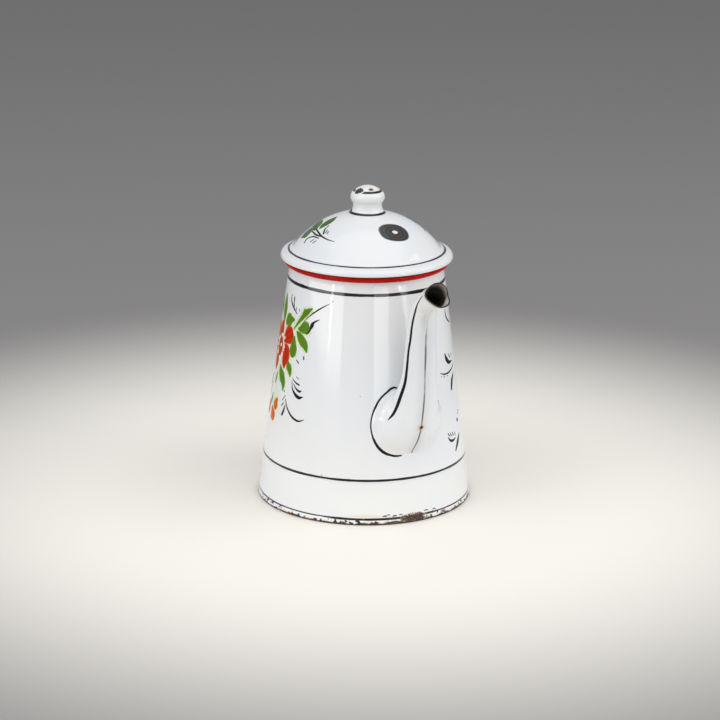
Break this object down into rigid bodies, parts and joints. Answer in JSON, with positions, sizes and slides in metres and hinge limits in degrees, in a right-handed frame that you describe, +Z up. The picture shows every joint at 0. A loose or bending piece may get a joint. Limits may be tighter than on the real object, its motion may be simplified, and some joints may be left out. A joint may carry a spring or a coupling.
{
  "type": "enamel coffee pot",
  "caption": "Tapered enamelled-steel coffee pot with a swan-neck spout, a bent strap handle and a domed lid that opens on a rear hinge.",
  "frame": {"origin": "centre of the foot, on the surface that the pot stands on", "axes": "+Z up, +X towards the spout, the handle and the lid's hinge at -X"},
  "size_m": [0.1976, 0.144, 0.2123],
  "materials": {
    "white_enamel": "glossy vitreous enamel on steel, hand painted with a flower spray and fine black lines, chipped and rusted at the edges",
    "red_enamel": "glossy red vitreous enamel on the rolled rim and the petals",
    "green_enamel": "glossy green enamel paint of the leaves, in single brush strokes",
    "black_enamel": "glossy black enamel paint of the fine strokes",
    "bare_steel": "dull tinned steel, darkened and spotted with rust"
  },
  "bodies": {
    "pot": {"body_wall": "white_enamel", "rim_wire": "bare_steel", "foot_band": "white_enamel", "bottom_dish": "white_enamel", "spout_left_half": "white_enamel", "spout_right_half": "white_enamel", "handle_strap": "white_enamel", "hinge_pot_leaf": "bare_steel", "hinge_pin": "bare_steel", "pot_leaf_rivets": "bare_steel"},
    "lid": {"lid_dome": "white_enamel", "lid_collar": "white_enamel", "lid_knob": "white_enamel", "hinge_lid_leaf": "bare_steel", "lid_leaf_rivets": "bare_steel"}
  },
  "joints": [
    {"name": "lid_hinge", "type": "hinge", "parent": "pot", "child": "lid", "pos_m": [-0.0612, 0, 0.1655], "axis": [0, -1, 0], "range_deg": [0, 105]}
  ]
}
